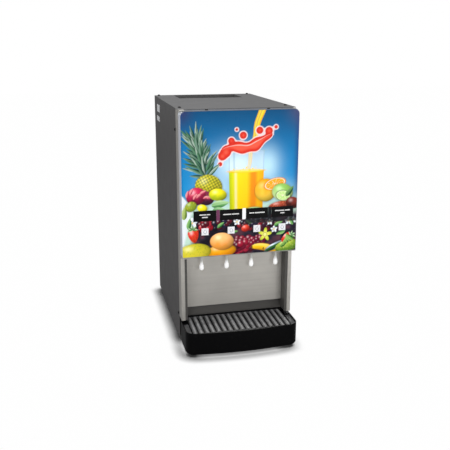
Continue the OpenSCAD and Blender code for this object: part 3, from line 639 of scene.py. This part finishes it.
def paint_swoosh(art):
    """A red splash with a pale edge where a headline would stand."""
    length = 180.0
    p, q = art.local(0.56, 0.77, 15)
    t = np.clip(p / length + 0.5, 0, 1)
    half = 23 * np.sin(np.pi * t) ** 0.5 * (1 - 0.3 * np.sin(t * 3 * math.pi) ** 2)
    wave = 9 * np.sin(t * 2.2 * math.pi + 0.9)
    splash = np.maximum(np.abs(q - wave) - half, np.abs(p) - length / 2)
    blobs = [(0.345, 0.70, 15), (0.375, 0.725, 17), (0.42, 0.80, 11), (0.52, 0.835, 12), (0.66, 0.865, 12),
             (0.74, 0.86, 13), (0.325, 0.645, 7), (0.80, 0.885, 6), (0.465, 0.875, 4.5)]
    for u, v, size in blobs:
        near = np.hypot(*art.local(u, v)) - size
        joined = np.clip(0.5 + 0.5 * (splash - near) / 9, 0, 1)
        splash = splash * (1 - joined) + near * joined - 9 * joined * (1 - joined)
    art.paint(inside(splash - 3.4, 2.0) * 0.9, "f5dcd9")
    art.paint(inside(splash), art.blend(-splash / 15, [(0, "c9281a"), (0.4, "dd2f1e"), (1, "ee5a42")]))
    gleam = np.abs(q - wave - 0.4 * half) - 1.8 * np.sin(np.pi * t)
    art.paint(inside(gleam, 1.4) * inside(splash + 3) * 0.7, "ffd0c4")


def paint_pineapple(art):
    """A dense crown of narrow leaves, painted from the tip down, over the upper half of the fruit."""
    greens = ("173f2c", "254f38", "336343", "1e4837")
    lights = ("7f9f8c", "b9ccbe", "5d8a6c")
    p, q = art.local(0.165, 0.71, 102)
    art.paint(inside((np.hypot(p / 76, q / 27) - 1) * 27, 22) * 0.8, "1d3d2e")
    count = 60
    for k in range(count):
        rise = 1 - k / (count - 1)
        side = math.sin(k * 2.4)
        u = 0.205 - 0.09 * rise + 0.02 * side
        v = 0.555 + 0.26 * rise
        heading = 104 + 6 * rise - side * (26 + 46 * (1 - rise))
        length = 50 + 12 * math.sin(k * 1.3) + 8 * (1 - rise)
        art.leaf(u, v, length, 11 - 2 * rise, heading, greens[k % 4], lights[k % 3])
    wide, tall = 47.0, 40.0
    p, q = art.local(0.228, 0.495, -18)
    distance = (np.hypot(p / wide, q / tall) - 1) * tall
    across, up = (p + q) / 13, (p - q) / 13
    lattice = np.minimum(np.abs(across % 1 - 0.5), np.abs(up % 1 - 0.5))
    eye = np.hypot(across % 1 - 0.5, up % 1 - 0.5)
    uneven = lattice * 2 + 0.2 * lattice_noise(p, q, 6, 2)
    skin = art.blend(uneven, [(0.0, "4a5212"), (0.3, "a9a81f"), (1, "dccb36")])
    art.paint(inside(distance - 2, 7) * 0.35, "1c2614")
    art.shaded(inside(distance), skin, 0.228, 0.495, 54, 46, 0.2)
    art.paint(inside(distance) * inside(eye - 0.17, 0.12) * 0.65, "33380f")


def paint_upper_fruit(art):
    art.fruit(0.20, 0.415, 30, 24, "8a2a4c", -14, 0.3, None, "3d1430")
    art.fruit(0.12, 0.43, 34, 30, "cf2350", 12, 0.45, None, "7d1238")
    for k in range(7):
        art.leaf(0.04 + 0.028 * k, 0.425 + 0.02 * math.sin(k * 2), 24, 10, 78 - 12 * k, "d8486a", "f0b0a8")
    art.fruit(0.305, 0.435, 31, 21, "f1e512", -8, 0.3, None, "b7c51a")
    art.leaf(0.25, 0.36, 62, 26, 8, "5fa05a", "bfe0a8")
    art.leaf(0.26, 0.33, 52, 22, -8, "3f8a4e", "a9d59a")
    art.fruit(0.075, 0.36, 21, 17, "8aa02c", 20, 0.25, "c9c13a")
    art.fruit(0.172, 0.345, 18, 13, "f3e318", -14, 0.4)
    art.fruit(0.72, 0.45, 38, 40, "f3ab14", 0, 0.15, None, "f6cb40")
    art.slice(0.80, 0.492, 40, "f08c0c", "f7a51c", 0.5, 14)
    art.fruit(0.87, 0.43, 38, 30, "8fc25a", -14, 0.3, None, "c9e3a0")
    art.slice(0.875, 0.405, 27, "5f9a34", "bfe08a", 0.7, -12, 9)
    art.leaf(0.90, 0.40, 44, 18, 52, "24552c", "7fae62")
    art.fruit(0.845, 0.335, 40, 15, "a8452c", 8, 0.3, "d6704a", "6d2418")
    art.fruit(0.965, 0.35, 26, 20, "7c2b20", -20, 0.3, None, "43150f")
    art.fruit(0.62, 0.315, 30, 10, "9fc77c", 0, 0.2, None, "d4e8b4")


def paint_lower_fruit(art):
    dark = art.z < art.height * 0.325
    base = lattice_noise(art.x, art.z, 17, 8)
    art.paint(inside(art.z - art.at(0, 0.29)[1], 26) * inside(34 - art.x, 20),
              art.blend(base, [(0.1, "16141f"), (0.5, "2c2633"), (0.9, "5d3440")]) * dark[:, None])
    berries = ["1d1a2c", "27203a", "3a1a30", "5a1626", "12121c"]
    art.cluster(0.33, 0.235, 70, 24, 9.5, berries, 3, 40)
    art.cluster(0.66, 0.215, 66, 26, 9.0, berries + ["8f1d2c"], 4, 38)
    art.cluster(0.19, 0.215, 22, 26, 9.0, ["a01528", "5a1020", "c22838"], 11, 16)
    flowers = [(0.085, 0.245, 20), (0.47, 0.235, 13), (0.76, 0.22, 12), (0.93, 0.22, 15), (0.80, 0.165, 13),
               (0.975, 0.225, 13)]
    for u, v, size in flowers:
        for k in range(5):
            art.leaf(u, v, size, size * 0.75, 72 * k + 18, "cfd8e4", "ffffff")
        art.glow(u, v, 3, 3, "f0c93a", 1.0)
    leaves = [(0.30, 0.20, 30, 40), (0.60, 0.22, 26, 150), (0.80, 0.19, 34, 25), (0.42, 0.16, 24, 10),
              (0.97, 0.19, 30, 115), (0.90, 0.15, 34, 200), (0.05, 0.20, 40, 80)]
    for u, v, size, turn in leaves:
        art.leaf(u, v, size, size * 0.42, turn, "2f7a3a", "9ccb7a")
    art.leaf(0.015, 0.27, 44, 20, 86, "7d9a3c", "c6d48a")
    art.strawberry(0.095, 0.15, 30, 8)
    art.fruit(0.545, 0.185, 15, 12, "e8503a", 20, 0.4, None, "b5281e")
    art.cluster(0.52, 0.065, 50, 28, 11, ["7c1230", "9c1a34", "5a0f28", "b02840"], 5, 30)
    art.cluster(0.66, 0.09, 26, 18, 9.5, ["6a1030", "8c1636"], 6, 12)
    art.fruit(0.33, 0.028, 54, 24, "f6b21a", 6, 0.35, None, "ef9310")
    art.fruit(0.34, 0.100, 42, 31, "fcc07a", -6, 0.25, None, "f3a040")
    art.fruit(0.095, 0.030, 60, 32, "c7bf2c", 6, 0.3, "a9ae2c", "e0cf3a")
    star_fruit(art, 0.72, 0.13, 25)
    art.banana(0.64, -0.215, 128, 26, 48, 98)
    art.banana(0.69, -0.22, 122, 22, 46, 88, "f2b912")
    art.fruit(0.81, 0.04, 40, 11, "aebfce", 24, 0.5, None, "7d93a6")
    art.leaf(0.72, 0.005, 92, 13, 24, "14401f", "3f7a3c")
    art.fruit(0.92, 0.035, 44, 22, "9fb83a", 14, 0.3, "c9d06a", "5c8a2c")
    art.strawberry(0.915, 0.092, 27, -62)
    for k in range(5):
        art.leaf(0.86 + 0.03 * k, 0.03 + 0.012 * k, 34, 14, 40 + 26 * k, "3d7d2c", "a3c76a")


def star_fruit(art, u, v, size):
    p, q = art.local(u, v, 12)
    r, heading = np.hypot(p, q), np.arctan2(q, p)
    rim = size * (0.66 + 0.34 * np.cos(heading * 5)) ** 0.8
    art.paint(inside(r - rim - 2, 6) * 0.35, "10141a")
    art.paint(inside(r - rim), art.blend(r / size, [(0.0, "f3f0a0"), (0.5, "dfe04e"), (1.0, "a8b52c")]))
    art.paint(inside(r - rim) * np.exp(-((r - 7) / 1.6) ** 2) * 0.6, "8a7a20")


def paint_card_gaps(art, cards_low, cards_high, columns):
    """What shows between and just below the flavour cards."""
    near = inside(np.abs(art.z - (cards_low + cards_high) / 2) - (cards_high - cards_low) / 2 - 1)
    for left, right, colour in zip(columns, columns[1:], ("6d3a58", "f2f4f6", "17181c")):
        art.paint(near * inside(np.abs(art.x - (left + right) / 2) - 6.2), colour)
    right_half = inside((columns[1] + columns[2]) / 2 + 2 - art.x, 3)
    band = inside(np.abs(art.z - cards_low + 8.5) - 8.5, 3)
    streaks = lattice_noise(art.x, art.z * 3, 14, 9)
    art.paint(right_half * band * 0.92, art.blend(streaks, [(0, "101114"), (1, "2c2e33")]))


def spread(marks, step):
    """Values from the first mark to the last, at most a step apart, that include every mark."""
    values = [marks[0]]
    for start, end in zip(marks, marks[1:]):
        count = max(1, math.ceil((end - start) / step))
        values += [start + (end - start) * (k + 1) / count for k in range(count)]
    return values


def corner_marks(edge, inward, radius, steps):
    """Places along an edge that give a round corner even steps of angle."""
    return [edge + inward * radius * (1 - math.cos(math.radians(90 * k / steps))) for k in range(steps + 1)]


def print_sheet(low, high, buttons):
    """A plate with a fine front face for the art, round corners and a cut-out for each button."""
    gap = 0.5 * MM
    top_r, foot_r = 15 * MM, 3 * MM
    cut_z = (buttons[0][0].z - gap, buttons[0][1].z + gap)
    cuts = [(b[0].x - gap, b[1].x + gap) for b in buttons]
    step = 1.5 * MM
    xs = spread([low.x] + [x for cut in cuts for x in cut] + [high.x], step)
    foot = corner_marks(low.z, 1, foot_r, 3)
    head = corner_marks(high.z, -1, top_r, 12)[::-1]
    zs = foot[:-1] + spread([foot[-1], cut_z[0], cut_z[1], head[0]], step) + head[1:]
    middle, half = (low.x + high.x) / 2, (high.x - low.x) / 2

    def inset(z):
        """How far the round corners pull the sides in at that height."""
        for edge, radius in ((high.z - z, top_r), (z - low.z, foot_r)):
            if edge < radius:
                return radius - math.sqrt(max(0.0, radius ** 2 - (radius - edge) ** 2))
        return 0.0

    bm = bmesh.new()
    rows = []
    for z in zs:
        narrow = inset(z)
        row = []
        for x in xs:
            side = min(1.0, max(0.0, (abs(x - middle) - half + 2 * top_r) / (2 * top_r)))
            row.append(bm.verts.new((x - math.copysign(narrow * side, x - middle), low.y, z)))
        rows.append(row)
    for j in range(len(zs) - 1):
        in_row = cut_z[0] < (zs[j] + zs[j + 1]) / 2 < cut_z[1]
        for i in range(len(xs) - 1):
            x = (xs[i] + xs[i + 1]) / 2
            if in_row and any(a < x < b for a, b in cuts):
                continue
            bm.faces.new((rows[j][i], rows[j][i + 1], rows[j + 1][i + 1], rows[j + 1][i]))
    bmesh.ops.delete(bm, geom=[v for v in bm.verts if not v.link_faces], context="VERTS")
    # Side walls from the front's outline and holes, then a back of plain triangles
    rim = [e for e in bm.edges if e.is_boundary]
    grown = bmesh.ops.extrude_edge_only(bm, edges=rim)["geom"]
    back = [g for g in grown if isinstance(g, bmesh.types.BMVert)]
    bmesh.ops.translate(bm, verts=back, vec=(0, high.y - low.y, 0))
    back_edges = [e for e in bm.edges if e.is_boundary]
    bmesh.ops.triangle_fill(bm, edges=back_edges, use_beauty=True, use_dissolve=False)
    return finished_mesh(bm, "door_print")


def door_print(finishes):
    """The printed panel in place of the CAD's plain one, painted point by point."""
    low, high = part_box("door_graphic")
    buttons = [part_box(f"button_{k}") for k in (1, 2, 3, 4)]
    mesh = print_sheet(low, high, buttons)
    points = np.array([v.co for v in mesh.vertices], float).reshape(-1, 3) / MM
    width, height = (high.x - low.x) / MM, (high.z - low.z) / MM
    art = Art(points[:, 0] - low.x / MM, points[:, 2] - low.z / MM, width, height)
    for paint in (paint_background, paint_stream, paint_glass, paint_swoosh, paint_pineapple,
                  paint_upper_fruit, paint_lower_fruit):
        paint(art)
    card_low, card_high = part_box("flavour_cards")
    columns = [(b[0].x + b[1].x) / 2 / MM - low.x / MM for b in buttons]
    paint_card_gaps(art, (card_low.z - low.z) / MM, (card_high.z - low.z) / MM, columns)
    colours = np.ones((len(points), 4), np.float32)
    colours[:, :3] = np.clip(art.colour, 0, 1)
    mesh.color_attributes.new("Art", "FLOAT_COLOR", "POINT").data.foreach_set("color", colours.ravel())
    piece = add_piece("door_print", mesh, finishes["print_film"], "door")
    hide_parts("door_graphic")


# ---------------- small new pieces


def finished_mesh(bm, name):
    """The mesh of a closed shape, its faces turned outwards."""
    bmesh.ops.recalc_face_normals(bm, faces=bm.faces)
    mesh = bpy.data.meshes.new(name)
    bm.to_mesh(mesh)
    bm.free()
    return mesh


def add_object(name, data):
    made = bpy.data.objects.new(name, data)
    bpy.context.scene.collection.objects.link(made)
    return made


def add_piece(name, mesh, material, body):
    """Puts a new piece on a body, with the material given for it."""
    piece = add_object(name, mesh)
    mesh.materials.append(material)
    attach(piece, body)
    return piece


def rounded_outline(width, height, radius, steps):
    """Points round a rectangle with round corners, centred on 0, anticlockwise."""
    points = []
    for k, (sx, sz) in enumerate(((1, -1), (1, 1), (-1, 1), (-1, -1))):
        for s in range(steps + 1):
            a = math.radians(90 * (k - 1) + 90 * s / steps)
            points.append((sx * (width / 2 - radius) + radius * math.cos(a),
                           sz * (height / 2 - radius) + radius * math.sin(a)))
    return points


def add_slab(bm, outline, centre, along, across, thick):
    """A flat closed plate: outline points laid on two axes round a centre, with a softened outer edge."""
    up = along.cross(across).normalized()
    chamfer = min(0.3 * thick, 0.25 * MM)
    rings = []
    for level, shrink in ((0, 0), (thick - chamfer, 0), (thick, chamfer)):
        ring = []
        for a, b in outline:
            reach = math.hypot(a, b)
            scale = (reach - shrink) / reach
            ring.append(bm.verts.new(centre + along * a * scale + across * b * scale + up * level))
        rings.append(ring)
    for lower, upper in zip(rings, rings[1:]):
        for k in range(len(outline)):
            n = (k + 1) % len(outline)
            bm.faces.new((lower[k], lower[n], upper[n], upper[k]))
    bm.faces.new(rings[-1])
    bm.faces.new(rings[0][::-1])


def slabs_mesh(name, slabs):
    bm = bmesh.new()
    for slab in slabs:
        add_slab(bm, *slab)
    return finished_mesh(bm, name)


def card_lines(finishes):
    """Plain white bars on each flavour card, where its name would be."""
    low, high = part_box("flavour_cards")
    bar, gap = 3.6, 1.6
    # For each card, its lines: how far above the card's middle, and the bars' lengths
    rows = [
        [(4.5, (24, 12)), (-4.5, (20,))],
        [(1.5, (28, 26))],
        [(1.5, (18, 36))],
        [(4.5, (34, 18)), (-4.5, (15,))],
    ]
    for k, lines in enumerate(rows):
        button_low, button_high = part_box(f"button_{k + 1}")
        middle = (button_low.x + button_high.x) / 2
        slabs = []
        for rise, lengths in lines:
            x = -(sum(lengths) + gap * (len(lengths) - 1)) / 2
            for length in lengths:
                centre = Vector((middle + (x + length / 2) * MM, low.y, (low.z + high.z) / 2 + rise * MM))
                outline = rounded_outline(length * MM, bar * MM, bar / 3 * MM, 3)
                slabs.append((outline, centre, X, Z, 0.25 * MM))
                x += length + gap
        mesh = slabs_mesh("card_lines", slabs)
        add_piece(f"card_lines_{k + 1}", mesh, finishes["card_ink"], "door")


def button_marks(finishes):
    """A raised drop outline on each push-button."""
    steps = 20
    radius, tip_height, below_middle = 5.0, 3.6, 1.2
    # Across the raised line: how far out from its middle, and how high
    profile = ((0.9, 0.0), (0.6, 0.35), (-0.6, 0.35), (-0.9, 0.0))
    for k in (1, 2, 3, 4):
        low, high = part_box(f"button_{k}")
        centre = Vector(((low.x + high.x) / 2, low.y, (low.z + high.z) / 2 - below_middle * MM))
        bm = bmesh.new()
        rings = []
        for s in range(steps):
            a = 2 * math.pi * s / steps
            reach = radius + tip_height * max(0.0, math.sin(a)) ** 6
            ring = []
            for width, lift in profile:
                r = (reach + width) * MM
                spot = centre + X * r * math.cos(a) + Z * r * math.sin(a)
                ring.append(bm.verts.new(spot - Y * lift * MM))
            rings.append(ring)
        for s in range(steps):
            here, there = rings[s], rings[(s + 1) % steps]
            for e in range(4):
                bm.faces.new((here[e], there[e], there[(e + 1) % 4], here[(e + 1) % 4]))
        mesh = finished_mesh(bm, "button_mark")
        add_piece(f"button_mark_{k}", mesh, finishes["button_ink"], f"button_{k}")


def side_labels(finishes):
    """Two blank plates high on the left side, near the back."""
    low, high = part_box("left_side_panel")
    plates = {"upper": (110, 40, 68, 28), "lower": (101, 81, 71, 19)}
    for name, (from_back, from_top, wide, tall) in plates.items():
        centre = Vector((low.x, high.y - from_back * MM, high.z - from_top * MM))
        outline = rounded_outline(wide * MM, tall * MM, 2 * MM, 4)
        mesh = slabs_mesh("side_label", [(outline, centre, -Y, Z, 0.5 * MM)])
        add_piece(f"side_label_{name}", mesh, finishes["label_metal"], "cabinet")


def screw_caps(finishes):
    """Low black domes over the screw heads: on the door's top, the top cover and the side panels."""
    door_low, door_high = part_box("door_screws")
    cover_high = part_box("top_cover")[1]
    heads_low, heads_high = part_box("panel_screws")
    head = 4.6 * MM
    cap, rise = 5.8 * MM, 4.2 * MM
    from_edge, set_back, side_spacing = 16 * MM, 4 * MM, 666 * MM
    door_y = (door_low.y + door_high.y) / 2
    across, side_y = cover_high.x - from_edge, heads_low.y + head
    side_heights = (heads_low.z + head, heads_low.z + head + side_spacing)
    door_spots = [(Vector((x, door_y, door_high.z)), Z) for x in (door_low.x + head, door_high.x - head)]
    cabinet_spots = []
    for side in (-1, 1):
        for y in (side_y + set_back, heads_high.y - head):
            cabinet_spots.append((Vector((side * across, y, cover_high.z)), Z))
        for z in side_heights:
            cabinet_spots.append((Vector((side * cover_high.x, side_y, z)), X * side))
    spots = {"door": door_spots, "cabinet": cabinet_spots}
    for body, places in spots.items():
        bm = bmesh.new()
        for centre, up in places:
            add_dome(bm, centre, up, cap, rise)
        mesh = finished_mesh(bm, "screw_caps")
        mesh.shade_smooth()
        add_piece(f"screw_caps_{body}", mesh, finishes["black_steel"], body)


def add_dome(bm, centre, up, radius, height):
    """A closed dome standing on a surface, its middle at the centre."""
    steps, rings = 20, 5
    side = up.orthogonal().normalized()
    other = up.cross(side)
    levels = []
    for k in range(rings):
        a = math.radians(90 * k / rings)
        r, lift = radius * math.cos(a), height * math.sin(a)
        ring = []
        for s in range(steps):
            b = 2 * math.pi * s / steps
            ring.append(bm.verts.new(centre + side * r * math.cos(b) + other * r * math.sin(b) + up * lift))
        levels.append(ring)
    tip = bm.verts.new(centre + up * height)
    for lower, upper in zip(levels, levels[1:]):
        for s in range(steps):
            n = (s + 1) % steps
            bm.faces.new((lower[s], lower[n], upper[n], upper[s]))
    for s in range(steps):
        bm.faces.new((levels[-1][s], levels[-1][(s + 1) % steps], tip))
    bm.faces.new(levels[0][::-1])


# ---------------- stage


def area_light(name, place, target, size, power):
    data = bpy.data.lights.new(name, "AREA")
    data.shape = "RECTANGLE"
    data.size, data.size_y = size
    data.energy = power
    light = add_object(name, data)
    light.location = place
    light.rotation_euler = (Vector(target) - Vector(place)).to_track_quat("-Z", "Y").to_euler()


def studio():
    """White to the camera, a dimmer fill for the object, and six area lights."""
    world = bpy.data.worlds.new("studio")
    bpy.context.scene.world = world
    world.use_nodes = True
    tree = world.node_tree
    seen, fill = tree.nodes["Background"], tree.nodes.new("ShaderNodeBackground")
    for background, colour, strength in ((seen, (1, 1, 1), 1.0), (fill, (0.97, 0.98, 1.0), 0.42)):
        background.inputs["Color"].default_value = (*colour, 1)
        background.inputs["Strength"].default_value = strength
    rays = tree.nodes.new("ShaderNodeLightPath")
    choose = tree.nodes.new("ShaderNodeMixShader")
    tree.links.new(rays.outputs["Is Camera Ray"], choose.inputs[0])
    tree.links.new(fill.outputs[0], choose.inputs[1])
    tree.links.new(seen.outputs[0], choose.inputs[2])
    tree.links.new(choose.outputs[0], tree.nodes["World Output"].inputs[0])

    middle = (0, 0, 0.45)
    area_light("overhead", (-0.2, 0.1, 2.6), middle, (2.4, 2.0), 26)
    area_light("key", (-1.5, -2.6, 1.9), middle, (1.6, 1.6), 34)
    area_light("right_fill", (2.6, -1.6, 1.2), middle, (1.2, 1.8), 12)
    area_light("left_edge", (-2.6, 0.2, 1.6), middle, (1.0, 1.6), 8)
    area_light("front_low", (0.9, -2.4, 0.25), (0, 0, 0.25), (1.8, 0.9), 16)
    area_light("rear", (0.9, 2.8, 0.38), middle, (1.8, 0.7), 18)


def floor():
    """A pale floor: white to the camera, shaded only where the object stands near."""
    mesh = bpy.data.meshes.new("floor")
    side = 12.0
    corners = [(-side, -side, 0), (side, -side, 0), (side, side, 0), (-side, side, 0)]
    mesh.from_pydata(corners, [], [(0, 1, 2, 3)])
    ground = add_object("floor", mesh)
    ground.location.z = -0.4 * MM
    f = Finish("floor_finish", "808080", 0.6)
    # Looks for cover towards the right and the back, so that the shade falls to the left and the front
    leaning = f.node("ShaderNodeCombineXYZ", {0: 0.40, 1: 0.38, 2: 0.83}).outputs[0]
    covered = {"Distance": 0.055, "Normal": leaning}
    near = f.node("ShaderNodeAmbientOcclusion", covered, samples=16).outputs["AO"]
    speck = f.uneven(0.004, 0.992, 1.0)
    shade = f.maths("MULTIPLY", f.span(near, 0.46, 0.92, 0.04, 1.0), speck)
    white = f.mix(shade, "000000", "ffffff")
    paper = f.node("ShaderNodeEmission", {"Color": white, "Strength": 1.0}).outputs[0]
    rays = f.node("ShaderNodeLightPath").outputs["Is Camera Ray"]
    choose = f.node("ShaderNodeMixShader", {0: rays, 1: f.bsdf.outputs[0], 2: paper}).outputs[0]
    f.feed(f.tree.nodes["Material Output"].inputs[0], choose)
    mesh.materials.append(f.material)


def camera():
    """The viewpoint that was fitted to the cabinet's edges in the photo."""
    data = bpy.data.cameras.new("camera")
    data.lens = 51.8
    data.sensor_width = 36
    view = add_object("camera", data)
    view.location = (-0.5393, -2.3410, 1.0576)
    view.rotation_euler = Euler((math.radians(74.123), 0, math.radians(-13.252)))
    bpy.context.scene.camera = view


# ---------------- build


finishes = make_finishes()
finish_cad_nodes(finishes)
door_print(finishes)
card_lines(finishes)
button_marks(finishes)
side_labels(finishes)
screw_caps(finishes)
studio()
floor()
camera()
bpy.context.scene.view_settings.view_transform = "Standard"
